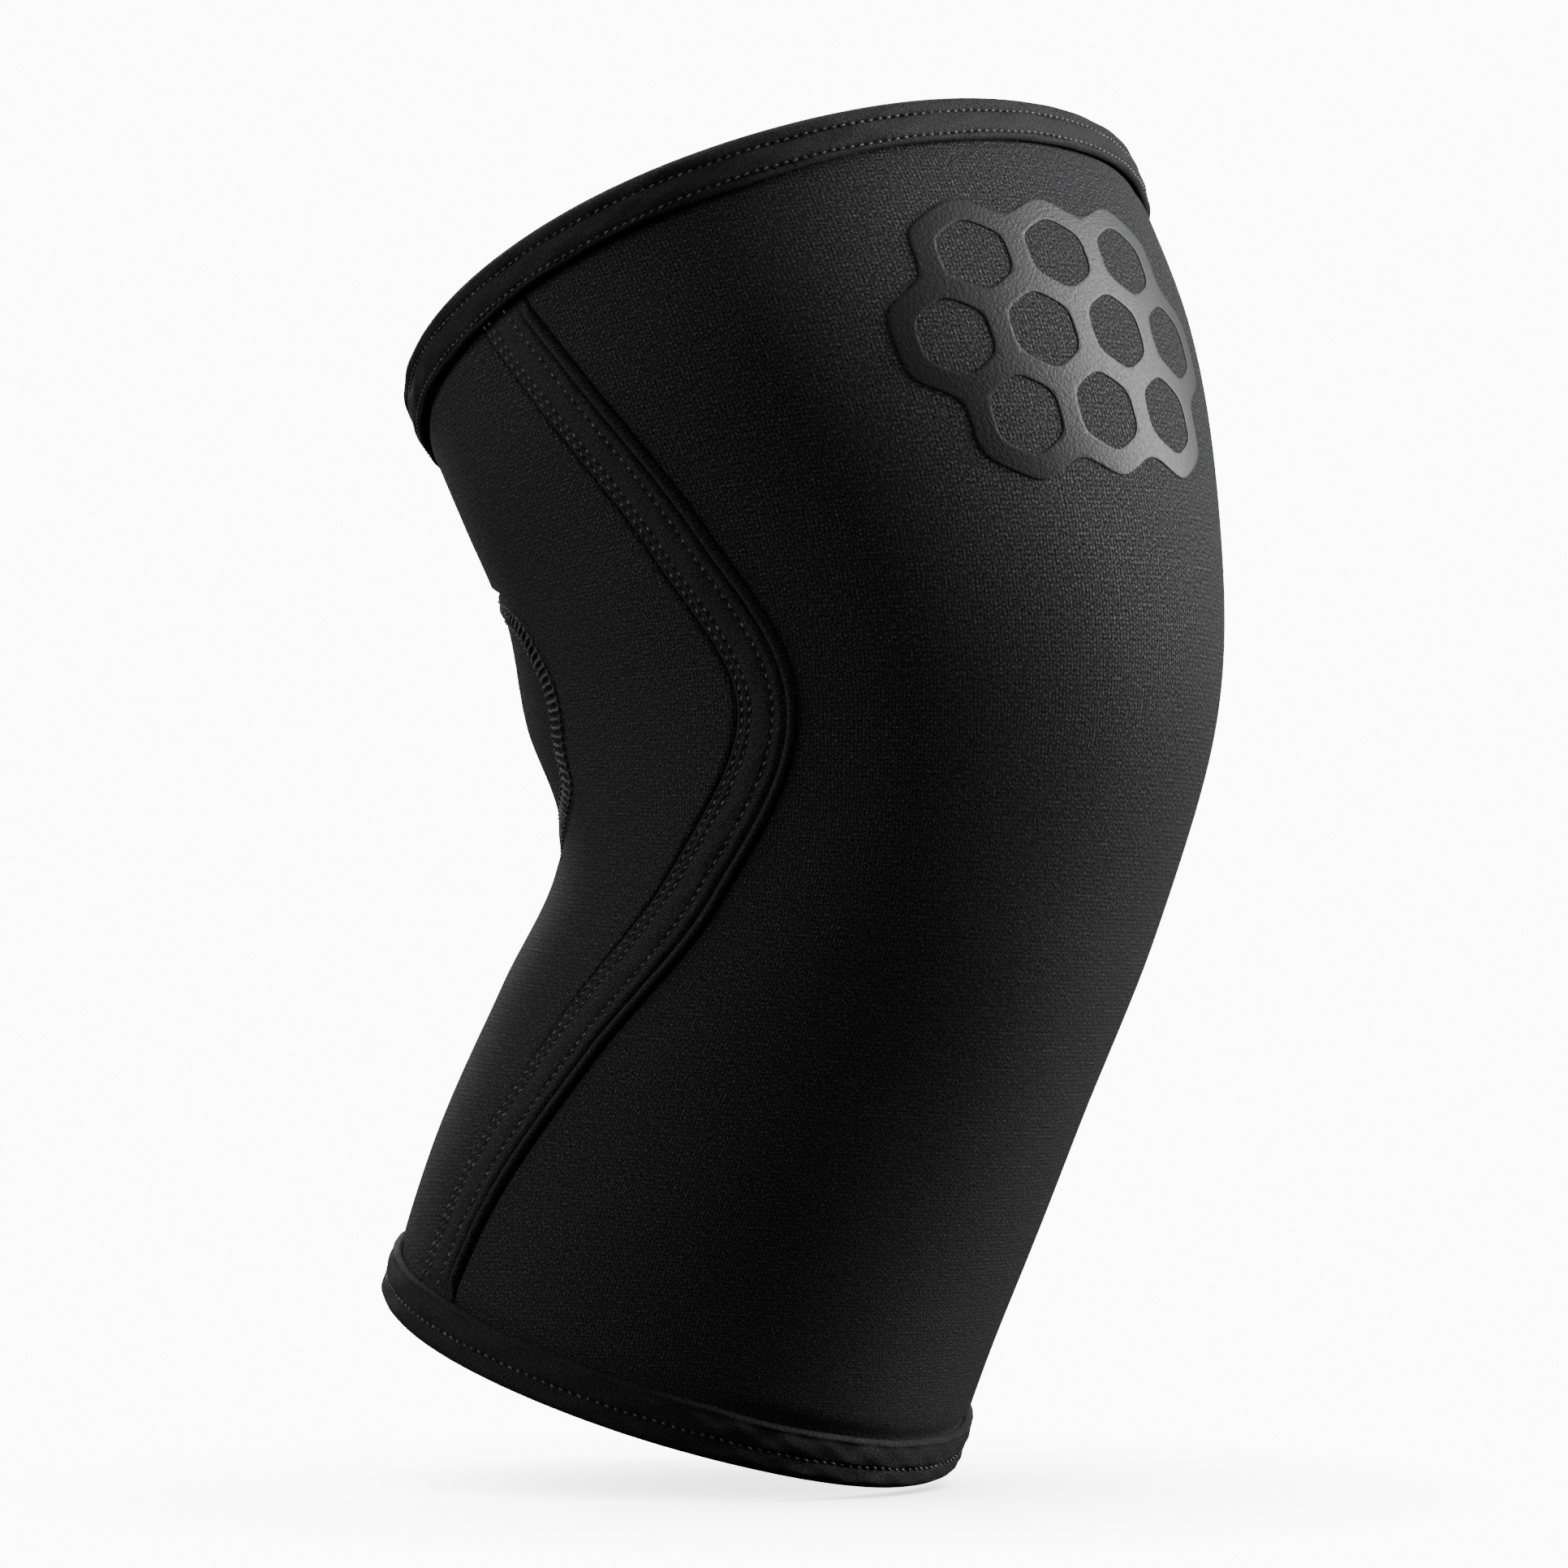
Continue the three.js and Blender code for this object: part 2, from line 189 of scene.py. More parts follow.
def beside_seam(height, distance):
    """Angle of a line beside the seam, in front of it or, if negative, behind it."""
    inside = np.clip(height, 1 - SHIN["length"], THIGH["length"] - 1)
    seam = leg_at(inside)[5]
    above, below = inside + 1, inside - 1
    path = bare_face(leg_at(above)[5], above) - bare_face(leg_at(below)[5], below)
    _, around = slopes(seam, inside)
    spread = np.linalg.norm(np.cross(around, path), axis=-1) / np.linalg.norm(path, axis=-1)
    return leg_at(height)[5] - distance / spread


def edge_drop(distance, radius, tucked=0.0):
    """How far a soft rounded edge lies below the face, at a distance from an edge tucked under."""
    reach = np.clip(radius + tucked - distance, 0, radius)
    return radius - np.sqrt(radius**2 - reach**2)


def hem_pinch(angle, height):
    """How far the sheets are pressed in beside the two bindings, in mm."""
    pinch = 0
    for end, cover in ((THIGH, HEM_COVER["thigh"]), (SHIN, HEM_COVER["calf"])):
        away = (height - from_rim(end, angle, cover)) / HEM_PINCH["reach"]
        pinch = pinch + HEM_PINCH["depth"] * np.exp(-(away**2))
    return pinch


# The leg's mean radius, and how much shorter the way up the back of the bend is than up its front
CLOTH = {"radius": 74.0, "shorter": 0.32}


def cloth_uv(angle, height):
    """Millimetres around and up the cloth, the way the wales and courses of the knit run."""
    angle, height = np.asarray(angle, float), np.asarray(height, float)
    up = height * (1 - CLOTH["shorter"] * (1 - np.cos(angle)) / 2)
    return np.stack(np.broadcast_arrays(angle * CLOTH["radius"], up), axis=-1)


def mesh_piece(name, points, faces, corner_uv):
    """A smooth mesh from points in mm, faces of four corners, and their places on the cloth."""
    mesh = bpy.data.meshes.new(name)
    mesh.from_pydata((points * 0.001).tolist(), [], faces.tolist())
    uv = mesh.uv_layers.new(name="cloth")
    uv.data.foreach_set("uv", corner_uv.reshape(-1).astype(np.float32))
    mesh.polygons.foreach_set("use_smooth", np.ones(len(faces), bool))
    mesh.update()
    piece = bpy.data.objects.new(name, mesh)
    bpy.context.collection.objects.link(piece)
    return piece


def grid_faces(rows, columns, wrap_rows, wrap_columns):
    """Corner numbers of a grid's faces, and the same corners in a grid of cloth places."""
    i, j = np.meshgrid(
        np.arange(rows if wrap_rows else rows - 1),
        np.arange(columns if wrap_columns else columns - 1), indexing="ij",
    )
    i, j = i.ravel(), j.ravel()
    corners = [(i, j), (i, j + 1), (i + 1, j + 1), (i + 1, j)]
    wide = columns + wrap_columns
    points = np.stack([(a % rows) * columns + b % columns for a, b in corners], axis=-1)
    places = np.stack([a * wide + b for a, b in corners], axis=-1)
    return points, places


def skin_loops(name, grid, cloth, wrap_rows):
    """A closed body from a loop of points carried along rows. Open rows get their ends closed."""
    rows, columns = grid.shape[:2]
    faces, places = grid_faces(rows, columns, wrap_rows, True)
    uv = cloth.reshape(-1, 2)[places]
    points = grid.reshape(-1, 3)
    if not wrap_rows:
        half = np.arange(columns // 2 - 1)
        cap = np.stack([half, columns - 1 - half, columns - 2 - half, half + 1], axis=-1)
        faces = np.vstack([faces, cap, (cap + (rows - 1) * columns)[:, ::-1]])
        uv = np.concatenate([uv, np.zeros((2 * len(cap), 4, 2))])
    piece = mesh_piece(name, points, faces, uv)
    face_out(piece)
    return piece


def face_out(piece):
    """Turns a closed mesh's faces outwards, if its volume comes out negative."""
    mesh = piece.data
    mesh.calc_loop_triangles()
    corners = np.empty(len(mesh.vertices) * 3)
    mesh.vertices.foreach_get("co", corners)
    corners = corners.reshape(-1, 3)
    triangles = np.empty(len(mesh.loop_triangles) * 3, int)
    mesh.loop_triangles.foreach_get("vertices", triangles)
    a, b, c = (corners[triangles.reshape(-1, 3)[:, k]] for k in range(3))
    if (a * np.cross(b, c)).sum() < 0:
        mesh.flip_normals()


def linear(code):
    """An sRGB hex colour as linear red, green, blue and alpha."""
    shares = [int(code[k:k + 2], 16) / 255 for k in (1, 3, 5)]
    return [s / 12.92 if s <= 0.04045 else ((s + 0.055) / 1.055) ** 2.4 for s in shares] + [1]


def add_node(material, kind, sockets=None, **settings):
    """Adds a node, sets its settings, and fills its sockets with values or with other outputs."""
    made = material.node_tree.nodes.new("ShaderNode" + kind)
    for key, value in settings.items():
        setattr(made, key, value)
    for key, value in (sockets or {}).items():
        if isinstance(value, bpy.types.NodeSocket):
            material.node_tree.links.new(value, made.inputs[key])
        else:
            made.inputs[key].default_value = value
    return made


def plain_material(name):
    """A new material whose nodes are all still to come."""
    material = bpy.data.materials.new(name)
    material.use_nodes = True
    material.node_tree.nodes.clear()
    return material


# Nylon jersey glued on foam rubber: rows of small loops, matt, with light specks painted where
# fibres stand out, as painted glints, and painted shade between the loops. The real loops are 0.5
# mm apart, and are drawn at about 0.7 mm, so that they show.

WALE = 0.76
COURSE = 0.68


def jersey(name, dark, light, wale, course, depth, bloom):
    material = plain_material(name)
    uv = add_node(material, "UVMap", uv_map="cloth").outputs["UV"]
    place = add_node(material, "SeparateXYZ", {0: uv})
    drift = add_node(material, "TexNoise", {"Vector": uv, "Scale": 0.11, "Detail": 2.0})
    sway = add_node(material, "Math", {0: drift.outputs["Fac"], 1: 1.6}, operation="MULTIPLY")
    across = add_node(
        material, "Math", {0: place.outputs["X"], 1: sway.outputs[0]}, operation="ADD",
    )
    across = add_node(material, "Math", {0: across.outputs[0], 1: 1 / wale}, operation="MULTIPLY")
    up = add_node(material, "Math", {0: place.outputs["Y"], 1: 1 / course}, operation="MULTIPLY")
    # Each wale is a column of V shapes: the height of a loop swings with its place in the column
    swing = add_node(material, "Math", {0: across.outputs[0], 1: 1.0}, operation="PINGPONG")
    tilt = add_node(
        material, "Math", {0: swing.outputs[0], 1: 0.4, 2: up.outputs[0]}, operation="MULTIPLY_ADD",
    )
    turn = add_node(material, "Math", {0: tilt.outputs[0], 1: 2 * np.pi}, operation="MULTIPLY")
    loops = add_node(material, "Math", {0: turn.outputs[0]}, operation="SINE")
    column = add_node(material, "Math", {0: across.outputs[0], 1: 2 * np.pi}, operation="MULTIPLY")
    ribs = add_node(material, "Math", {0: column.outputs[0]}, operation="COSINE")
    rib_part = add_node(material, "Math", {0: ribs.outputs[0], 1: 0.32}, operation="MULTIPLY")
    knit = add_node(
        material, "Math", {0: loops.outputs[0], 1: 0.28, 2: rib_part.outputs[0]},
        operation="MULTIPLY_ADD",
    )
    # Painted glints: light specks in the colour where fibres would catch the light here and there
    painted_glint_noise = add_node(
        material, "TexNoise", {"Vector": uv, "Scale": 1.95, "Detail": 3.0, "Roughness": 0.8},
    )
    painted_glints = add_node(
        material, "MapRange", {0: painted_glint_noise.outputs["Fac"], 1: 0.4, 2: 0.63, 3: -1.0, 4: 1.0},
    )
    relief = add_node(
        material, "Math", {0: painted_glints.outputs[0], 1: 0.9, 2: knit.outputs[0]},
        operation="MULTIPLY_ADD",
    )
    # The colour follows this relief: lighter on the specks and on the crests of loops and ribs, and
    # darker between them as painted shade
    shade = add_node(material, "MapRange", {0: relief.outputs[0], 1: -1.0, 2: 1.4, 3: 0.0, 4: 1.0})
    tone = add_node(material, "ValToRGB", {0: shade.outputs[0]})
    tone.color_ramp.elements[0].color = linear(dark)
    tone.color_ramp.elements[1].color = linear(light)
    middle = tone.color_ramp.elements.new(0.5)
    middle.color = [0.85 * low + 0.15 * high for low, high in zip(linear(dark), linear(light))]
    bump = add_node(
        material, "Bump", {"Height": relief.outputs[0], "Strength": depth, "Distance": 0.0003},
    )
    matt = add_node(material, "MapRange", {0: relief.outputs[0], 1: -1.0, 2: 1.0, 3: 0.9, 4: 0.6})
    cloth = add_node(material, "BsdfPrincipled", {
        "Base Color": tone.outputs[0], "Roughness": matt.outputs[0], "Normal": bump.outputs[0],
        "Specular IOR Level": 0.3, "Sheen Weight": bloom, "Sheen Roughness": 0.4,
        "Sheen Tint": linear("#d6d6da"),
    })
    add_node(material, "OutputMaterial", {"Surface": cloth.outputs[0]})
    return material


front_jersey = jersey("black_jersey_on_foam_rubber", "#030303", "#69696c", WALE, COURSE, 1.0, 0.05)

# A sheet's edge is rounded, less so inside, and a narrow groove stays open beside its seam
EDGE_RADIUS = 1.3
EDGE_GROOVE = 0.5
INNER_ROUNDING = 0.6
EDGE_STEPS = np.array([0.0, 0.5, 0.82, 0.95, 1.15, 1.45, 1.8, 2.2])


def across_steps(width, count):
    """Distances from edge to edge of a sheet, close together where its two edges are rounded."""
    width = width[..., None]
    start = np.broadcast_to(EDGE_STEPS, width.shape[:-1] + EDGE_STEPS.shape)
    middle = EDGE_STEPS[-1] + np.linspace(0, 1, count)[1:-1] * (width - 2 * EDGE_STEPS[-1])
    return np.concatenate([start, middle, width - start[..., ::-1]], axis=-1)


FRONT_ROWS = 150
FRONT_COLUMNS = 118

front_share = np.linspace(0, 1, FRONT_ROWS)
front_edge_height = seam_height(front_share)
front_edge = beside_seam(front_edge_height, BAND_WIDTH / 2 - SEAM_TUCK)
front_half = front_edge * np.linalg.norm(slopes(front_edge, front_edge_height)[1], axis=-1)
front_steps = across_steps(2 * front_half, FRONT_COLUMNS)
front_side = front_steps / front_half[:, None] - 1
front_angle = front_edge[:, None] * front_side
front_shift = front_edge_height - row_height(front_share, front_edge)
front_height = row_height(front_share[:, None], front_angle)
front_height = front_height + front_shift[:, None] * np.abs(front_side)
front_near = np.minimum(front_steps, 2 * front_half[:, None] - front_steps)
front_drop = edge_drop(front_near, EDGE_RADIUS, SEAM_TUCK + EDGE_GROOVE)
front_outer = skin(front_angle, front_height, -front_drop - hem_pinch(front_angle, front_height))
front_inner = skin(front_angle, front_height, front_drop * INNER_ROUNDING - WALL)
front_cloth = cloth_uv(front_angle, front_height)
front_sheet = skin_loops(
    "front_sheet",
    np.concatenate([front_outer, front_inner[:, ::-1]], axis=1),
    np.concatenate([front_cloth, front_cloth[:, ::-1], front_cloth[:, :1]], axis=1),
    False,
)
front_sheet.data.materials.append(front_jersey)
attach(front_sheet, "root")
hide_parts("front_panel")


# Rear sheet, round the back of the thigh and calf. The same foam rubber and jersey as the front,
# with a rounded cut-out behind the knee. Its side edges meet the seam bands.

INSERT = {"height": 64, "width": 162, "centre": 2, "tuck": 0.3, "recess": 0.5}
# Half of the cut-out's outline, in half widths and half heights, from the top's middle downwards
INSERT_OUTLINE = [
    (0.0, 1.0), (0.45, 0.96), (0.8, 0.78), (0.95, 0.42), (1.0, 0.06),
    (0.97, -0.26), (0.93, -0.56), (0.6, -0.88), (0.3, -0.98), (0.0, -1.0),
]


def insert_edge(share, growth):
    """A point of the cut-out's outline, smooth between the table's, in mm from its middle."""
    half = np.array(INSERT_OUTLINE)
    ring = np.vstack([half, half[-2:0:-1] * [-1, 1]])
    ring = np.vstack([ring[-2:], ring, ring[:3]])
    spans = np.linalg.norm(np.diff(ring, axis=0), axis=1) ** 0.5
    place = np.asarray(share, float) % 1 * (len(ring) - 5)
    knot = np.floor(place).astype(int) + 2
    part = place - np.floor(place)
    a, b, c, d = (ring[knot + k] for k in (-1, 0, 1, 2))
    before, here, after = (spans[knot + k][..., None] for k in (-1, 0, 1))
    leave = ((b - a) / before - (c - a) / (before + here) + (c - b) / here) * here
    reach = ((c - b) / here - (d - b) / (here + after) + (d - c) / after) * here
    t = part[..., None]
    point = (
        (2 * t**3 - 3 * t**2 + 1) * b + (t**3 - 2 * t**2 + t) * leave
        + (3 * t**2 - 2 * t**3) * c + (t**3 - t**2) * reach
    )
    return point * [INSERT["width"] / 2 + growth, INSERT["height"] / 2 + growth]


def insert_place(flat):
    """Angle and height on the leg of a place on the insert, given in mm from its middle."""
    angle = np.pi + flat[..., 0] * 2 / KNEE["depth"]
    along, _ = slopes(angle, np.full(angle.shape, float(INSERT["centre"])))
    return angle, INSERT["centre"] + flat[..., 1] / np.linalg.norm(along, axis=-1)


REAR_SPOKES = 336
REAR_ROWS = 58
rear_share = np.arange(REAR_SPOKES) / REAR_SPOKES
rear_hole = np.stack(insert_place(insert_edge(rear_share, -INSERT["tuck"])), axis=-1)
# The outer border starts at the middle of the top and runs the same way as the outline does:
# half of the top, one side, the bottom, the other side, and the other half of the top
rear_corners = np.array([0.0, 0.11, 0.39, 0.61, 0.89, 1.0])
rear_side = np.interp(rear_share, rear_corners, [0.5, 1.0, 1.0, 0.0, 0.0, 0.5])
rear_rise = np.interp(rear_share, rear_corners, [1.0, 1.0, 0.0, 0.0, 1.0, 1.0])
rear_edge_height = seam_height(rear_rise)
rear_edge = beside_seam(rear_edge_height, -(BAND_WIDTH / 2 - SEAM_TUCK))
rear_border_angle = rear_edge + (2 * np.pi - 2 * rear_edge) * rear_side
rear_shift = rear_edge_height - row_height(rear_rise, rear_edge)
rear_border_height = row_height(rear_rise, rear_border_angle)
rear_border_height = rear_border_height + rear_shift * np.abs(2 * rear_side - 1)
rear_border = np.stack([rear_border_angle, rear_border_height], axis=-1)
# Rough mm of cloth for each radian round the back and for each mm of height
rear_mm = np.array([KNEE["depth"] / 2, 0.85])
rear_length = np.linalg.norm((rear_border - rear_hole) * rear_mm, axis=-1)
rear_steps = across_steps(rear_length, REAR_ROWS).T
rear_spoke = (rear_steps / rear_length)[..., None]
rear_place = rear_hole * (1 - rear_spoke) + rear_border * rear_spoke
rear_angle, rear_height = rear_place[..., 0], rear_place[..., 1]
rear_near = np.minimum(rear_steps, rear_length - rear_steps)
rear_drop = edge_drop(rear_near, EDGE_RADIUS, SEAM_TUCK + EDGE_GROOVE)
rear_outer = skin(rear_angle, rear_height, -rear_drop - hem_pinch(rear_angle, rear_height))
rear_inner = skin(rear_angle, rear_height, rear_drop * INNER_ROUNDING - WALL)
rear_cloth = cloth_uv(rear_angle, rear_height)
rear_loops = np.concatenate([rear_outer, rear_inner[::-1]]).transpose(1, 0, 2)
rear_loop_cloth = np.concatenate([rear_cloth, rear_cloth[::-1], rear_cloth[:1]])
rear_loop_cloth = rear_loop_cloth.transpose(1, 0, 2)
rear_sheet = skin_loops(
    "rear_sheet", rear_loops, np.concatenate([rear_loop_cloth, rear_loop_cloth[:1]]), True,
)
# The same jersey painted a little greyer: a lit copy, with painted light for how the rear sheet
# looks lighter beside the front one
rear_jersey = jersey(
    "lighter_painted_black_jersey_on_foam_rubber", "#050505", "#6b6b6d", WALE, COURSE, 0.9, 0.08,
)
rear_sheet.data.materials.append(rear_jersey)
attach(rear_sheet, "root")
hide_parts("rear_panel")


# Insert behind the knee: a thinner patch of foam rubber with a fine ribbed face, set into the
# cut-out edge to edge, and held by a flat seam that runs like a ladder just inside its edge.

PATCH_CELLS = 60
PATCH_EDGE_RADIUS = 0.9
PATCH_INNER_ROUNDING = 0.5
patch_line = np.linspace(-1, 1, PATCH_CELLS + 1)
patch_u, patch_v = np.meshgrid(patch_line, -patch_line)
patch_ring = np.maximum(np.abs(patch_u), np.abs(patch_v))
patch_turn = np.arctan2(patch_u, patch_v)
# The square's corners are spread evenly round the outline, so that no cell is pinched
quarter = np.round(patch_turn / (np.pi / 2))
patch_share = (quarter + np.tan(patch_turn - quarter * np.pi / 2) / 2) / 4
patch_flat = insert_edge(patch_share, 0) * patch_ring[..., None]
patch_angle, patch_height = insert_place(patch_flat)
patch_near = (1 - patch_ring) * INSERT["height"] / 2
patch_drop = edge_drop(patch_near, PATCH_EDGE_RADIUS, INSERT["tuck"])
patch_top = skin(patch_angle, patch_height, -INSERT["recess"] - patch_drop)
patch_under = skin(patch_angle, patch_height, patch_drop * PATCH_INNER_ROUNDING - WALL)
patch_cloth = cloth_uv(patch_angle, patch_height)
patch_faces, _ = grid_faces(PATCH_CELLS + 1, PATCH_CELLS + 1, False, False)
patch_count = (PATCH_CELLS + 1) ** 2
patch_rim = np.concatenate([
    np.arange(PATCH_CELLS),
    PATCH_CELLS + np.arange(PATCH_CELLS) * (PATCH_CELLS + 1),
    patch_count - 1 - np.arange(PATCH_CELLS),
    (PATCH_CELLS - np.arange(PATCH_CELLS)) * (PATCH_CELLS + 1),
])
patch_next = np.roll(patch_rim, -1)
patch_wall = np.stack(
    [patch_next, patch_rim, patch_rim + patch_count, patch_next + patch_count], axis=-1,
)
patch_uv = patch_cloth.reshape(-1, 2)
insert_patch = mesh_piece(
    "knee_hollow_patch",
    np.concatenate([patch_top.reshape(-1, 3), patch_under.reshape(-1, 3)]),
    np.vstack([patch_faces, patch_faces[:, ::-1] + patch_count, patch_wall[:, ::-1]]),
    np.concatenate([
        patch_uv[patch_faces], patch_uv[patch_faces[:, ::-1]],
        patch_uv[patch_wall[:, ::-1] % patch_count],
    ]),
)
face_out(insert_patch)
# Ribbed jersey: fine upright ribs, with soft dark lines of painted shade between them
patch_knit = jersey("fine_rib_knit_on_foam_rubber", "#040404", "#606062", 1.5, 0.7, 1.0, 0.08)
insert_patch.data.materials.append(patch_knit)
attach(insert_patch, "root")
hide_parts("knee_hollow_insert")

# One sewn stitch: a short length of thread whose two ends dive into the cloth
bpy.ops.object.select_all(action="DESELECT")
bpy.ops.mesh.primitive_uv_sphere_add(segments=6, ring_count=6, radius=1)
bpy.ops.object.mode_set(mode="EDIT")
bpy.ops.mesh.select_all(action="SELECT")
bpy.ops.transform.rotate(value=np.pi / 2, orient_axis="Y", center_override=(0, 0, 0))
bpy.ops.object.mode_set(mode="OBJECT")
stitch_pattern = bpy.context.object
stitch_corners = np.array([corner.co for corner in stitch_pattern.data.vertices])
stitch_faces = [list(face.vertices) for face in stitch_pattern.data.polygons]
bpy.data.objects.remove(stitch_pattern, do_unlink=True)
# How far a stitch's ends dive, in widths, and how far apart the grain of two stitches is, in mm
STITCH_DIVE = 0.7
STITCH_GRAIN = 5.3


def spun_thread(name, dark, light):
    """Polyester thread of two twisted plies. Its light tone is painted gloss, lighter on the twist,
    and shows as light dots.
    """
    material = plain_material(name)
    uv = add_node(material, "UVMap", uv_map="cloth").outputs["UV"]
    twist = add_node(material, "TexWave", {"Vector": uv, "Scale": 0.55}, bands_direction="DIAGONAL")
    # Painted shine and shade: the tone changes along a row, lighter where stitches are taken to lie
    # flat and shine, darker where they sink in
    painted_shine = add_node(
        material, "TexNoise", {"Vector": uv, "Scale": 0.09, "Detail": 3.0, "Roughness": 0.7},
    )
    shade = add_node(
        material, "MapRange", {0: painted_shine.outputs["Fac"], 1: 0.38, 2: 0.66, 3: 0.0, 4: 0.7},
    )
    mix = add_node(
        material, "Math", {0: twist.outputs["Fac"], 1: 0.3, 2: shade.outputs[0]},
        operation="MULTIPLY_ADD",
    )
    tone = add_node(material, "ValToRGB", {0: mix.outputs[0]})
    tone.color_ramp.elements[0].color = linear(dark)
    tone.color_ramp.elements[1].color = linear(light)
    bump = add_node(
        material, "Bump", {"Height": twist.outputs["Fac"], "Strength": 0.6, "Distance": 0.0001},
    )
    cloth = add_node(material, "BsdfPrincipled", {
        "Base Color": tone.outputs[0], "Roughness": 0.5, "Normal": bump.outputs[0],
        "Specular IOR Level": 0.45, "Sheen Weight": 0.15, "Sheen Roughness": 0.4,
    })
    add_node(material, "OutputMaterial", {"Surface": cloth.outputs[0]})
    return material


seam_thread = spun_thread("spun_polyester_thread", "#1c1c1d", "#929294")
# Textured thread is softer and duller, so the ladder shows as low ribs
ladder_thread = spun_thread("soft_textured_polyester_thread", "#141415", "#5c5c5e")


def path_length(path):
    """Length along a path from its start to each of its points."""
    return np.concatenate([[0], np.cumsum(np.linalg.norm(np.diff(path, axis=0), axis=1))])


def stitch_places(length, places, pitch):
    """Places of the middles of stitches along a line, given by its length, and their pitch."""
    count = int(round(length[-1] / pitch))
    middles = (np.arange(count) + 0.5) * length[-1] / count
    return np.interp(middles, length, places), length[-1] / count


def sew(name, spots, ahead, out, length, width, thread, slot):
    """Threads at spots in mm, each along a direction and lying on the cloth that faces out."""
    ahead = ahead / np.linalg.norm(ahead, axis=-1, keepdims=True)
    side = np.cross(out, ahead)
    side = side / np.linalg.norm(side, axis=-1, keepdims=True)
    up = np.cross(ahead, side)
    x, y, z = stitch_corners.T
    x = x * length / 2
    y = y * width / 2
    z = z * width / 2 - (2 * x / length) ** 2 * width * STITCH_DIVE
    points = (
        spots[:, None] + x[:, None] * ahead[:, None] + y[:, None] * side[:, None]
        + z[:, None] * up[:, None]
    ).reshape(-1, 3)
    size = len(stitch_corners)
    mesh = bpy.data.meshes.new(name)
    faces = [
        [corner + k * size for corner in face] for k in range(len(spots)) for face in stitch_faces
    ]
    mesh.from_pydata((points * 0.001).tolist(), [], faces)
    around = np.arctan2(stitch_corners[:, 1], stitch_corners[:, 2]) * width / 2
    places = np.tile(np.stack([x, around], axis=-1), (len(spots), 1))
    places[:, 0] += np.repeat(np.arange(len(spots)) * STITCH_GRAIN, size)
    corners = np.empty(len(mesh.loops), int)
    mesh.loops.foreach_get("vertex_index", corners)
    uv = mesh.uv_layers.new(name="cloth")
    uv.data.foreach_set("uv", places[corners].reshape(-1).astype(np.float32))
    mesh.polygons.foreach_set("use_smooth", np.ones(len(faces), bool))
    mesh.update()
    row = bpy.data.objects.new(name, mesh)
    bpy.context.collection.objects.link(row)
    row.data.materials.append(thread)
    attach(row, "root")
    return row


# In mm: the ladder's two sides, measured outwards from the insert's edge, the widths of its
# threads, how far out they lie, and how far the rungs run past the rails
LADDER = {
    "pitch": 2.0, "near": -2.0, "far": -6.4, "rung": 1.0, "rail": 0.6,
    "rung_out": 0.25, "rail_out": 0.15, "past": 0.5, "rail_share": 0.95,
}
LADDER_TRACE = 1441
ladder_line = np.linspace(0, 1, LADDER_TRACE)
ladder_path = skin(*insert_place(insert_edge(ladder_line, LADDER["near"])), 0.0)
ladder_share, ladder_pitch = stitch_places(path_length(ladder_path), ladder_line, LADDER["pitch"])


def ladder_points(growth, out):
    angle, height = insert_place(insert_edge(ladder_share, growth))
    return skin(angle, height, out - INSERT["recess"])


ladder_middle = (LADDER["near"] + LADDER["far"]) / 2
ladder_out = ladder_points(ladder_middle, 1.0) - ladder_points(ladder_middle, 0.0)
sew(
    "ladder_rungs", ladder_points(ladder_middle, LADDER["rung_out"]),
    ladder_points(LADDER["near"], 0.0) - ladder_points(LADDER["far"], 0.0),
    ladder_out, LADDER["near"] - LADDER["far"] + LADDER["past"], LADDER["rung"],
    ladder_thread, "rib_knit",
)
for side_name in ("near", "far"):
    rail = ladder_points(LADDER[side_name], 0.0)
    sew(
        f"ladder_{side_name}_rail", ladder_points(LADDER[side_name], LADDER["rail_out"]),
        np.roll(rail, -1, axis=0) - rail, ladder_out,
        ladder_pitch * LADDER["rail_share"], LADDER["rail"], ladder_thread, "rib_knit",
    )


# Side seam bands: flat knitted tape sewn over the butted edges of the two sheets. Two close rows
# of stitches hold its rear edge and one row its middle. The front edge is rolled into a bead.

# In mm across the tape, along it, or out from the face. Beside the bindings it is pinched less
BAND = {
    "rise": 0.5, "edge_radius": 0.45, "bead_start": 10.7, "bead_rise": 1.3,
    "crease": 0.4, "crease_width": 0.7, "rows": (1.15, 2.8, 7.8), "pitch": 2.3,
    "stitch": (1.2, 0.4), "puff": 0.4, "dip": 0.35, "thread_outside": 0.48,
    "thread_inside": 0.25, "sunk": 0.12, "run_out": 4.0, "pinched": 0.7,
    "under": 0.1, "under_radius": 0.8,
}
PRICK_WIDTH = 0.4


def sewn_relief(across, along, creases, rows, pitch, puff, dip):
    """Swell of tape between its creases, and the dips where stitches pull it down, in mm."""
    relief = np.zeros(np.broadcast(across, along).shape)
    for low, high in zip(creases[:-1], creases[1:]):
        between = np.clip((across - low) / (high - low), 0, 1)
        relief = relief + puff * min(1, (high - low) / 4) * np.sin(between * np.pi) ** 0.8
    prick = 0.6 + 0.4 * np.cos(2 * np.pi * along / pitch)
    for row in rows:
        relief = relief - dip * prick * np.exp(-(((across - row) / PRICK_WIDTH) ** 2))
    return relief


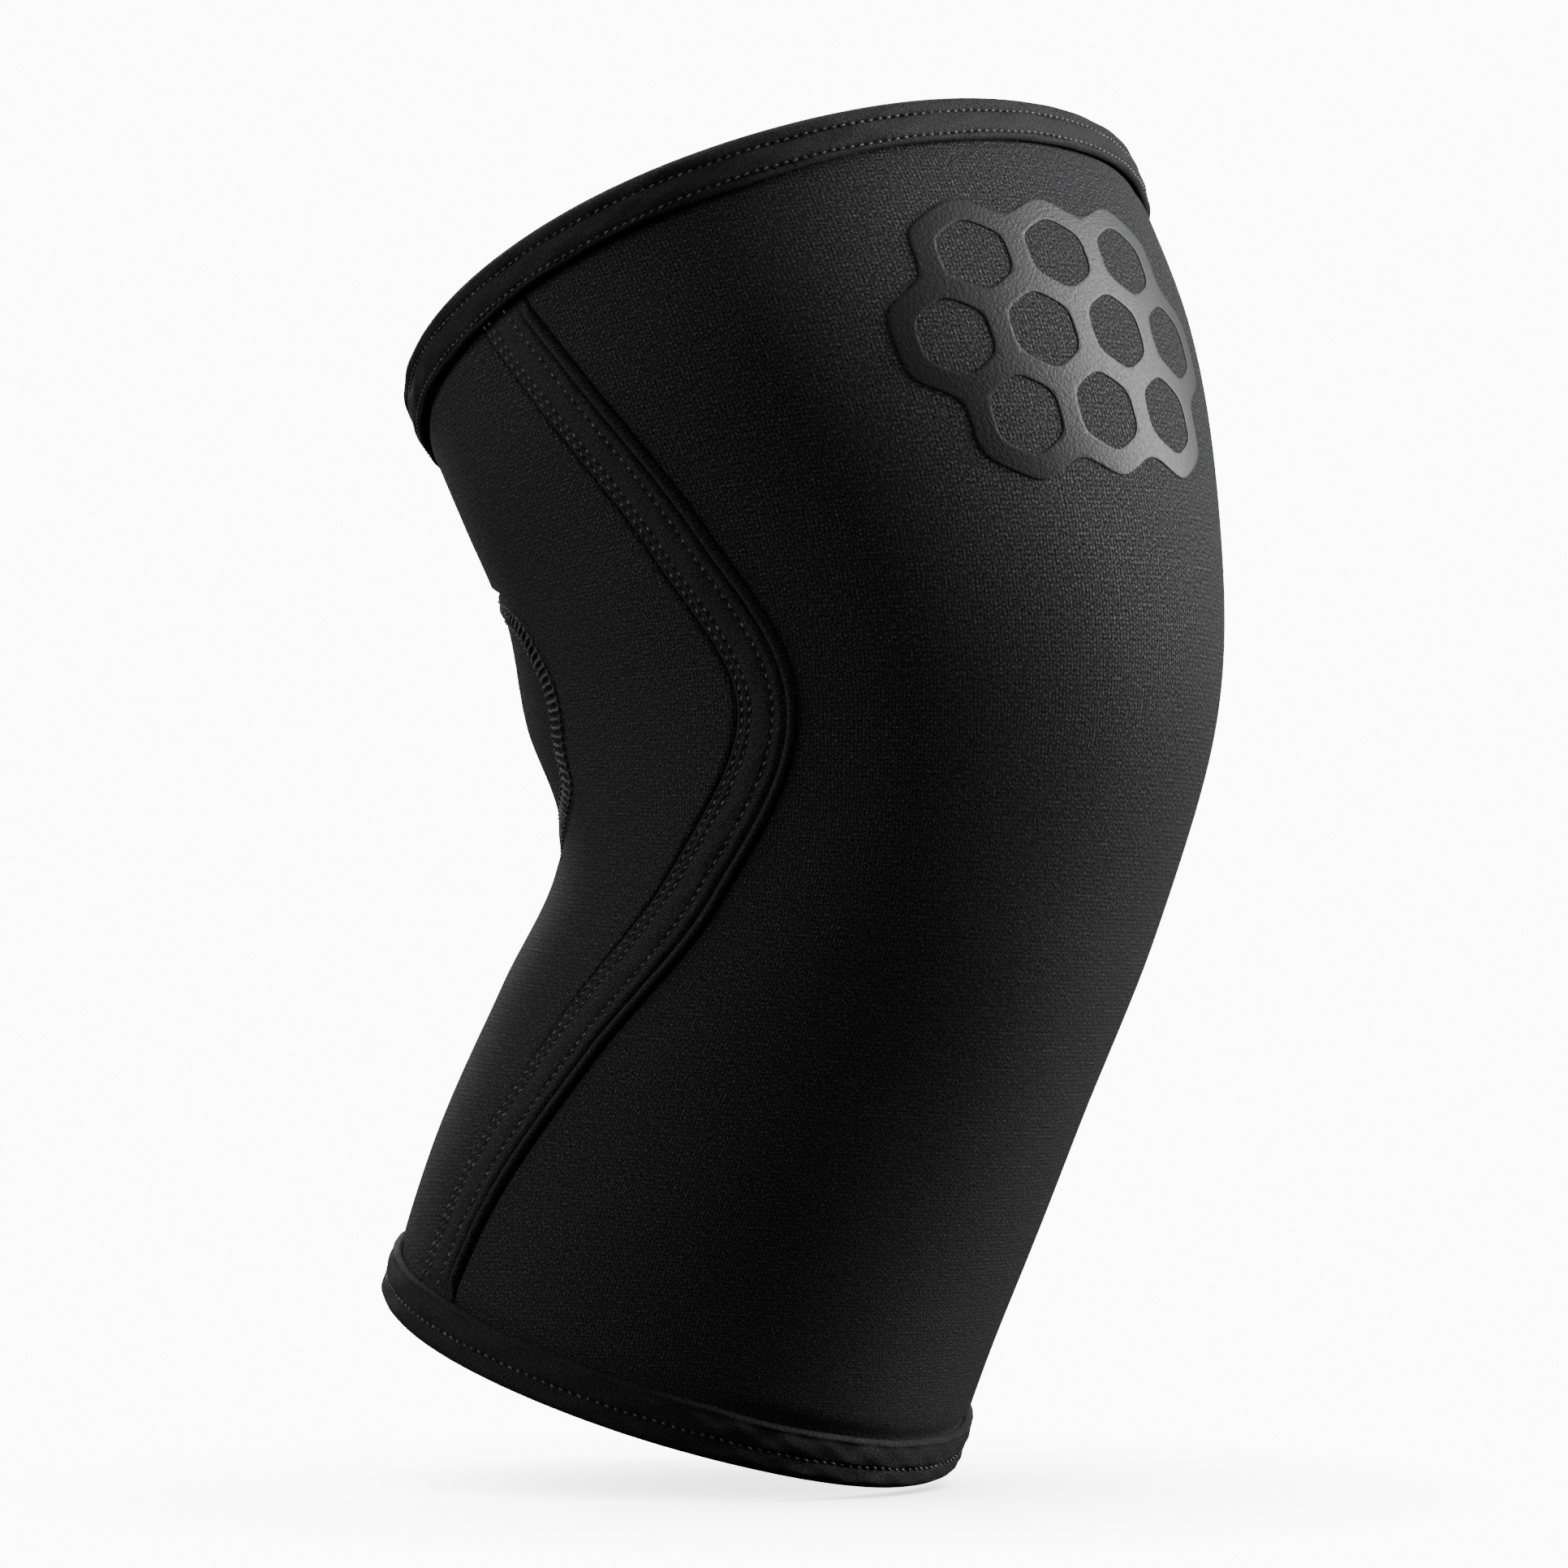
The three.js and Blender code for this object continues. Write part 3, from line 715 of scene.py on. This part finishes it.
def band_rise(across, along, pitch):
    """Height of the tape's face over the sheets' face, across it and along it, in mm."""
    bead = (across - BAND["bead_start"]) / (BAND_WIDTH - BAND["bead_start"])
    roll = BAND["bead_rise"] * np.sqrt(np.clip(1 - (2 * bead - 1.0) ** 2, 0, 1))
    flat = BAND["rise"] - edge_drop(across, BAND["edge_radius"])
    crease = np.exp(-(((across - BAND["bead_start"]) / BAND["crease_width"]) ** 2))
    flat = flat - (BAND["rise"] + BAND["crease"]) * crease
    # Knitted tape never lies quite flat
    flat = flat + 0.06 * np.sin(along / 3.1 + across * 0.8) + 0.05 * np.sin(along / 1.7 - across)
    creases = (0.0, *BAND["rows"], BAND["bead_start"])
    flat = flat + sewn_relief(
        across, along, creases, BAND["rows"], pitch, BAND["puff"], BAND["dip"],
    )
    return np.where(bead > 0, roll - 0.3 * np.exp(-((bead / 0.12) ** 2)), flat)


BAND_STATIONS = 760
band_share = np.linspace(0, 1, BAND_STATIONS)
band_height = seam_height(band_share)
band_along = path_length(skin(beside_seam(band_height, 0.0), band_height, 0.0))
band_spots, band_pitch = stitch_places(band_along, band_share, BAND["pitch"])
# Places across the tape, close together at its rear edge and round the bead
bead_turn = np.linspace(0.25, np.pi, 11)
band_flat = np.concatenate([
    [0.0, 0.1, 0.3, 0.55], np.arange(0.8, 9.7, 0.32), [9.9, 10.15, 10.35, 10.55, 10.7],
    BAND["bead_start"] + (BAND_WIDTH - BAND["bead_start"]) * (1 - np.cos(bead_turn)) / 2,
])
# The tape lies flat where it runs under the bindings
band_free = np.minimum(
    THIGH["length"] - band_height - HEM_COVER["thigh"],
    band_height + SHIN["length"] - HEM_COVER["calf"],
) - 0.5
band_free = np.clip(band_free / BAND["run_out"], 0, 1)
band_lift = band_free**2 * (3 - 2 * band_free)
tape_rise = band_rise(band_flat[None, :], band_along[:, None], band_pitch)
tape_out = np.where(tape_rise > 0, tape_rise * band_lift[:, None], tape_rise) - BAND["sunk"]
band_pinch = BAND["pinched"] * hem_pinch(leg_at(band_height)[5], band_height)
tape_out = tape_out - band_pinch[:, None]
band_under = np.linspace(0, BAND_WIDTH, len(band_flat))[::-1]
under_edge = np.minimum(band_under, BAND_WIDTH - band_under)
under_out = -WALL - BAND["under"] + edge_drop(under_edge, BAND["under_radius"])


def tape(name, dark, light, bloom):
    """Polyester tape, knitted close: dull black, smoother than the jersey, with a short fuzz."""
    material = plain_material(name)
    uv = add_node(material, "UVMap", uv_map="cloth").outputs["UV"]
    place = add_node(material, "SeparateXYZ", {0: uv})
    ribs = add_node(
        material, "Math", {0: place.outputs["Y"], 1: 2 * np.pi / 0.8}, operation="MULTIPLY",
    )
    ribs = add_node(material, "Math", {0: ribs.outputs[0]}, operation="SINE")
    lines = add_node(
        material, "Math", {0: place.outputs["X"], 1: 2 * np.pi / 0.7}, operation="MULTIPLY",
    )
    lines = add_node(material, "Math", {0: lines.outputs[0]}, operation="SINE")
    weave = add_node(
        material, "Math", {0: ribs.outputs[0], 1: lines.outputs[0]}, operation="MULTIPLY",
    )
    fuzz = add_node(
        material, "TexNoise", {"Vector": uv, "Scale": 2.0, "Detail": 3.0, "Roughness": 0.8},
    )
    fuzz_part = add_node(
        material, "MapRange", {0: fuzz.outputs["Fac"], 1: 0.4, 2: 0.62, 3: -1.0, 4: 1.0},
    )
    relief = add_node(
        material, "Math", {0: weave.outputs[0], 1: 0.3, 2: fuzz_part.outputs[0]},
        operation="MULTIPLY_ADD",
    )
    shade = add_node(material, "MapRange", {0: relief.outputs[0], 1: -1.0, 2: 1.1, 3: 0.0, 4: 1.0})
    tone = add_node(material, "ValToRGB", {0: shade.outputs[0]})
    tone.color_ramp.elements[0].color = linear(dark)
    tone.color_ramp.elements[1].color = linear(light)
    middle = tone.color_ramp.elements.new(0.5)
    middle.color = [0.82 * low + 0.18 * high for low, high in zip(linear(dark), linear(light))]
    bump = add_node(
        material, "Bump", {"Height": relief.outputs[0], "Strength": 1.0, "Distance": 0.00025},
    )
    cloth = add_node(material, "BsdfPrincipled", {
        "Base Color": tone.outputs[0], "Roughness": 0.7, "Normal": bump.outputs[0],
        "Specular IOR Level": 0.35, "Sheen Weight": bloom, "Sheen Roughness": 0.4,
        "Sheen Tint": linear("#d6d6da"),
    })
    add_node(material, "OutputMaterial", {"Surface": cloth.outputs[0]})
    return material


band_tape = tape("black_knitted_tape", "#040404", "#505052", 0.07)

for side_name, side in (("right", 1), ("left", -1)):
    band_loop = []
    for across, out in zip(
        np.concatenate([band_flat, band_under]),
        np.concatenate([tape_out.T, np.repeat(under_out[:, None], BAND_STATIONS, axis=1)]),
    ):
        angle = beside_seam(band_height, across - BAND_WIDTH / 2)
        band_loop.append(skin(side * angle, band_height, out))
    band_grid = np.stack(band_loop, axis=1)
    band_places = np.concatenate([band_flat, band_under, band_flat[:1]])
    band_cloth = np.stack(np.broadcast_arrays(band_places[None, :], band_along[:, None]), axis=-1)
    band = skin_loops(side_name + "_seam_tape", band_grid, band_cloth, False)
    band.data.materials.append(band_tape)
    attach(band, "root")
    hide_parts(side_name + "_seam_band")
    height = seam_height(band_spots)
    shown = height < THIGH["length"] - HEM_COVER["thigh"]
    shown = shown & (height > HEM_COVER["calf"] - SHIN["length"])
    height, further = height[shown], seam_height(band_spots[shown] + 0.001)
    for number, across in enumerate(BAND["rows"]):
        for face_name, face, surface in (
            ("outer", 1, BAND["thread_outside"]), ("inner", -1, -WALL - BAND["thread_inside"]),
        ):
            angle = side * beside_seam(height, across - BAND_WIDTH / 2)
            spots = skin(angle, height, surface)
            out = skin(angle, height, surface + face) - spots
            ahead_angle = side * beside_seam(further, across - BAND_WIDTH / 2)
            ahead = skin(ahead_angle, further, surface) - spots
            row_name = f"{side_name}_seam_{face_name}_stitches_{number + 1}"
            sew(row_name, spots, ahead, out, *BAND["stitch"], seam_thread, "tape")


# Bindings: a strip of the same tape folded over each rim and sewn through all layers, with two
# rows of stitches on the thigh's rim and one on the calf's. The foam rubber rounds the fold.

# In mm down from the rim, along it, or out from the face
HEMS = {
    "thigh": {
        "end": THIGH, "rows": (4.0, 9.0), "creases": (0.3, 4.0, 9.0), "puff": 0.5,
        "stations": 1000,
    },
    "calf": {
        "end": SHIN, "rows": (5.3,), "creases": (0.3, 5.3, 10.2, 11.5), "puff": 0.32,
        "stations": 800,
    },
}
HEM = {
    "gap": 0.3, "thickness": 1.1, "pitch": 2.05, "fold": 2.4, "dip": 0.5, "stitch": (1.2, 0.42),
    "thread_outside": 0.05, "thread_inside": 0.1, "measured": 5.0, "inner_relief": 0.6,
}

# The binding's tape is the same tape painted blacker, as painted shade on the rims
shaded_hem_tape = tape("black_folded_binding_painted_darker", "#030303", "#38383a", 0.04)

for hem_name, hem in HEMS.items():
    end, width = hem["end"], HEM_COVER[hem_name]
    outside = HEM["gap"] + HEM["thickness"]
    turn = np.linspace(0, 2 * np.pi, hem["stations"], endpoint=False)
    round_turn = np.append(turn, 2 * np.pi)
    round_path = path_length(skin(round_turn, from_rim(end, round_turn, HEM["measured"]), 0.0))
    stitch_turns, stitch_pitch = stitch_places(round_path, round_turn, HEM["pitch"])
    # Half of the fold's section, from the covered edge out over the face to the middle of the rim
    over = np.concatenate([
        [width - 1.1, width - 0.75, width - 0.3, width, width - 0.04, width - 0.25, width - 0.6],
        np.arange(width - 0.95, HEM["fold"] + 0.2, -0.36),
    ])
    rise = np.concatenate([
        [-0.8, -0.65, -0.4, 0.15, 0.7, 1.15, outside], np.full(len(over) - 7, outside),
    ])
    corner = np.linspace(0, np.pi / 2, 9)
    fold_down = HEM["fold"] * (1 - np.sin(corner) ** 0.9)
    fold_out = outside - HEM["fold"] * 1.15 * (1 - np.cos(corner))
    down = np.concatenate([over, fold_down, [0.0]])
    out = np.concatenate([rise, fold_out, [-WALL / 2 + 0.6]])
    relief = sewn_relief(
        down[None, :], round_path[:-1, None], hem["creases"], hem["rows"],
        stitch_pitch, hem["puff"], HEM["dip"],
    )
    # Foam swells a little unevenly under a tight strip
    uneven = 0.11 * np.sin(23 * turn[:, None] + down * 0.9)
    uneven = uneven + 0.08 * np.sin(41 * turn[:, None] - down * 1.3)
    # All of it fades where the strip is tucked in
    shown = np.clip(out - 0.5, 0, 1)
    out_grid = out + (relief + uneven) * shown
    mirrored = -WALL - (out + relief * HEM["inner_relief"] * shown)[:, ::-1]
    lining_down = np.array([width - 1.3, 1.2, 1.2, width - 1.3])
    lining_out = np.array([-WALL - 0.12, -WALL - 0.12, 0.12, 0.12])
    all_down = np.concatenate([down, down[::-1], lining_down])
    lining_grid = np.repeat(lining_out[None, :], len(turn), axis=0)
    all_out = np.concatenate([out_grid, mirrored, lining_grid], axis=1)
    # The covered edge wanders a little, as a hand-fed strip does
    wander = 0.18 * np.sin(7 * turn + 0.8) + 0.12 * np.sin(13 * turn + 2.0)
    edge_share = np.clip(all_down / width, 0, 1) ** 3
    hem_down = all_down[None, :] + wander[:, None] * edge_share[None, :]
    turns = np.repeat(turn[:, None], len(all_down), axis=1)
    hem_grid = skin(turns, from_rim(end, turns, hem_down), all_out)
    fold_path = np.append(path_length(np.stack([all_down, all_out[0]], axis=-1)), 0)
    hem_cloth = np.stack(np.broadcast_arrays(fold_path[None, :], round_path[:, None]), axis=-1)
    binding = skin_loops(hem_name + "_binding", hem_grid, hem_cloth, True)
    binding.data.materials.append(shaded_hem_tape)
    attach(binding, "root")
    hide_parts(hem_name + "_hem")
    for number, row in enumerate(hem["rows"]):
        for face_name, face, surface in (
            ("outer", 1, outside + HEM["thread_outside"]),
            ("inner", -1, -WALL - outside - HEM["thread_inside"]),
        ):
            # The needle's row wavers, and each stitch lies a little askew in it
            line = row + 0.12 * np.sin(9 * stitch_turns + row) + 0.08 * np.sin(31 * stitch_turns)
            spots = skin(stitch_turns, from_rim(end, stitch_turns, line), surface)
            out_way = skin(stitch_turns, from_rim(end, stitch_turns, line), surface + face) - spots
            further, lower = stitch_turns + 0.004, line + 0.08
            ahead = skin(further, from_rim(end, further, lower), surface) - spots
            row_name = f"{hem_name}_{face_name}_stitches_{number + 1}"
            sew(row_name, spots, ahead, out_way, *HEM["stitch"], seam_thread, "tape")


# Grip print above the kneecap: a thin satin film, pressed on warm, in a plain net of hexagons.
# It follows the knit beneath, so its face has a fine leathery grain.

# In mm, but for the angle in degrees, and the number of cells in each row
PRINT = {
    "angle": 14, "height": 57, "cell": 20.5, "stroke": 5.0, "rows": (3, 4, 3), "film": 0.26,
    "edge": 0.08, "lifted": 0.05,
}
cell_radius = PRINT["cell"] / np.sqrt(3)
cell_middles = [
    np.array([
        (column - (count - 1) / 2) * PRINT["cell"],
        (row - (len(PRINT["rows"]) - 1) / 2) * PRINT["cell"] * np.sqrt(3) / 2,
    ])
    for row, count in enumerate(PRINT["rows"]) for column in range(count)
]
cell_turns = [np.array([np.cos(a), np.sin(a)]) for a in (np.arange(6) * 60 + 30) * DEGREE]
net_crossings, crossing_cells, net_struts = [], [], {}
for cell, middle in enumerate(cell_middles):
    ring = []
    for direction in cell_turns:
        point = middle + direction * cell_radius
        near = [k for k, other in enumerate(net_crossings) if np.hypot(*(other - point)) < 0.5]
        if not near:
            net_crossings.append(point)
            crossing_cells.append([])
            near = [len(net_crossings) - 1]
        crossing_cells[near[0]].append(cell)
        ring.append(near[0])
    for k in range(6):
        net_struts.setdefault(frozenset((ring[k], ring[(k + 1) % 6])), []).append(cell)

net_inset = PRINT["stroke"] / np.sqrt(3)
net_points, net_faces, net_known = [], [], {}


def net_corner(crossing, cell):
    """Corner of the net at a crossing, towards a cell, or outside where the cell is None."""
    if (crossing, cell) not in net_known:
        here = net_crossings[crossing]
        ways = [cell_middles[k] - here for k in crossing_cells[crossing]]
        way = -np.sum(ways, axis=0) if cell is None else cell_middles[cell] - here
        net_known[crossing, cell] = len(net_points)
        net_points.append(here + way / np.linalg.norm(way) * net_inset)
    return net_known[crossing, cell]


for ends, cells in net_struts.items():
    a, b = sorted(ends)
    sides = (cells + [None])[:2]
    net_faces.append([
        net_corner(a, sides[0]), net_corner(b, sides[0]),
        net_corner(b, sides[1]), net_corner(a, sides[1]),
    ])
for crossing, cells in enumerate(crossing_cells):
    if len(cells) > 1:
        net_faces.append([net_corner(crossing, cell) for cell in (cells + [None])[:3]])

print_mesh = bpy.data.meshes.new("grip_film")
print_mesh.from_pydata([(x, y, 0) for x, y in net_points], [], net_faces)
print_film = bpy.data.objects.new("grip_film", print_mesh)
bpy.context.collection.objects.link(print_film)
bpy.ops.object.select_all(action="DESELECT")
print_film.select_set(True)
bpy.context.view_layer.objects.active = print_film
bpy.ops.object.mode_set(mode="EDIT")
bpy.ops.mesh.select_all(action="SELECT")
bpy.ops.mesh.normals_make_consistent(inside=False)
bpy.ops.mesh.subdivide(number_cuts=1)
bpy.ops.object.mode_set(mode="OBJECT")
for kind, settings in (
    ("SUBSURF", {"levels": 2, "render_levels": 2}),
    ("SOLIDIFY", {"thickness": PRINT["film"], "offset": 0.0}),
    ("BEVEL", {"width": PRINT["edge"], "segments": 2, "limit_method": "ANGLE"}),
):
    modifier = print_film.modifiers.new(kind.title(), kind)
    for key, value in settings.items():
        setattr(modifier, key, value)
    bpy.ops.object.modifier_apply(modifier=modifier.name)
flat_net = np.array([corner.co for corner in print_film.data.vertices])
print_angle = PRINT["angle"] * DEGREE - flat_net[:, 0] / (THIGH["depth"] / 2)
print_middle = np.full(print_angle.shape, float(PRINT["height"]))
print_stretch = np.linalg.norm(slopes(print_angle, print_middle)[0], axis=-1)
print_height = PRINT["height"] + flat_net[:, 1] / print_stretch
print_laid = skin(print_angle, print_height, flat_net[:, 2] + PRINT["lifted"])
print_film.data.vertices.foreach_set("co", (print_laid * 0.001).reshape(-1))
film_uv = print_film.data.uv_layers.new(name="cloth")
film_corners = np.empty(len(print_film.data.loops), int)
print_film.data.loops.foreach_get("vertex_index", film_corners)
film_uv.data.foreach_set("uv", flat_net[film_corners, :2].reshape(-1).astype(np.float32))
print_film.data.polygons.foreach_set("use_smooth", np.ones(len(print_film.data.polygons), bool))
print_film.data.update()
face_out(print_film)

# Cast polyurethane: a satin face, with the leathery grain that the knit under it gives
film = plain_material("satin_polyurethane_film")
film_place = add_node(film, "UVMap", uv_map="cloth").outputs["UV"]
film_grain = add_node(film, "TexVoronoi", {"Vector": film_place, "Scale": 2.0}, feature="SMOOTH_F1")
film_drift = add_node(film, "TexNoise", {"Vector": film_place, "Scale": 1.2, "Detail": 4.0})
film_relief = add_node(
    film, "Math", {0: film_grain.outputs["Distance"], 1: film_drift.outputs["Fac"]},
    operation="ADD",
)
film_bump = add_node(
    film, "Bump", {"Height": film_relief.outputs[0], "Strength": 0.45, "Distance": 0.00015},
)
film_shade = add_node(
    film, "MapRange", {0: film_relief.outputs[0], 1: 0.4, 2: 1.2, 3: 0.42, 4: 0.56},
)
film_tone = add_node(film, "ValToRGB", {0: film_drift.outputs["Fac"]})
film_tone.color_ramp.elements[0].color = linear("#1d1d1f")
film_tone.color_ramp.elements[1].color = linear("#29292b")
film_face = add_node(film, "BsdfPrincipled", {
    "Base Color": film_tone.outputs[0], "Roughness": film_shade.outputs[0],
    "Normal": film_bump.outputs[0], "Specular IOR Level": 0.26,
})
add_node(film, "OutputMaterial", {"Surface": film_face.outputs[0]})
print_film.data.materials.append(film)
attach(print_film, "root")
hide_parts("grip_print")


# Studio: a white light table below the sleeve, a soft light at the knee's side, weaker ones in
# front, behind and above, and an even pale surround. The camera looks up by 3 degrees.

VIEW_TURN = 55 * DEGREE
VIEW_DROP = 3 * DEGREE
VIEW_DISTANCE = 1.1
VIEW_WIDTH = 0.339
# How far to the left of the origin, and below it, the camera looks, in mm
VIEW_LEFT = 18.8
VIEW_LOW = 11.6
SENSOR_WIDTH = 36
FLOOR = -0.1635
BACKDROP = 12.0

view_back = Vector((
    -np.sin(VIEW_TURN) * np.cos(VIEW_DROP),
    -np.cos(VIEW_TURN) * np.cos(VIEW_DROP),
    -np.sin(VIEW_DROP),
))
view_right = Vector((np.cos(VIEW_TURN), -np.sin(VIEW_TURN), 0))
view_up = view_back.cross(view_right)
view_target = (view_right * VIEW_LEFT + view_up * VIEW_LOW) * -0.001

camera = bpy.data.objects.new("camera", bpy.data.cameras.new("camera"))
bpy.context.collection.objects.link(camera)
camera.location = view_target + view_back * VIEW_DISTANCE
camera.rotation_euler = Matrix((view_right, view_up, view_back)).transposed().to_euler()
camera.data.sensor_width = SENSOR_WIDTH
camera.data.lens = SENSOR_WIDTH * VIEW_DISTANCE / VIEW_WIDTH
camera.data.clip_start = 0.01
bpy.context.scene.camera = camera

bpy.ops.object.select_all(action="DESELECT")
bpy.ops.mesh.primitive_circle_add(vertices=128, radius=4.0, fill_type="NGON", location=(0, 0, 0))
floor = bpy.context.object
floor.name = "floor"
for corner in floor.data.vertices:
    corner.co.z = FLOOR
# The floor is a white light table: it shines up at the camera, weakly at the sleeve, and dims
# where the sleeve stands close over it, which is a painted contact shadow
table = plain_material("white_light_table")
table_sight = add_node(table, "LightPath")
table_painted_shadow = add_node(table, "AmbientOcclusion", {"Distance": 0.12}, samples=16)
table_shade = add_node(
    table, "MapRange", {0: table_painted_shadow.outputs["AO"], 1: 0.2, 2: 1.0, 3: 1.4, 4: BACKDROP},
)
table_glow = add_node(
    table, "MapRange", {0: table_sight.outputs["Is Camera Ray"], 3: 0.004, 4: 1.0},
)
table_power = add_node(
    table, "Math", {0: table_shade.outputs[0], 1: table_glow.outputs[0]}, operation="MULTIPLY",
)
table_face = add_node(
    table, "Emission", {"Color": linear("#fbfbfb"), "Strength": table_power.outputs[0]},
)
add_node(table, "OutputMaterial", {"Surface": table_face.outputs[0]})
floor.data.materials.append(table)

LIGHTS = [
    # name, to the right, up, towards the camera, width and height in m, watts
    ("knee_side_light", 0.62, 0.27, -0.05, 0.36, 0.36, 11.4),
    ("front_fill", -0.3, 0.95, 1.1, 1.0, 1.0, 4.8),
    ("rear_fill", -1.3, 0.45, 0.1, 1.0, 1.0, 9.0),
    ("back_fill", -0.3, 0.6, -1.5, 1.2, 1.2, 16),
    ("top_light", -0.5, 1.5, -0.4, 1.0, 1.0, 8),
]
for light_name, right, up, back, width, height, watts in LIGHTS:
    lamp = bpy.data.objects.new(light_name, bpy.data.lights.new(light_name, "AREA"))
    bpy.context.collection.objects.link(lamp)
    lamp.data.shape = "RECTANGLE"
    lamp.data.size = width
    lamp.data.size_y = height
    lamp.data.energy = watts
    place = view_right * right + Vector((0, 0, 1)) * up + view_back * back
    lamp.location = place
    lamp.rotation_euler = place.to_track_quat("Z", "Y").to_euler()

world = bpy.data.worlds.new("surround")
bpy.context.scene.world = world
world.use_nodes = True
world.node_tree.nodes.clear()
surround_sight = add_node(world, "LightPath")
surround_tone = add_node(
    world, "MapRange", {0: surround_sight.outputs["Is Camera Ray"], 3: 0.04, 4: BACKDROP},
)
surround = add_node(world, "Background", {0: linear("#fbfbfb"), 1: surround_tone.outputs[0]})
add_node(world, "OutputWorld", {0: surround.outputs[0]})
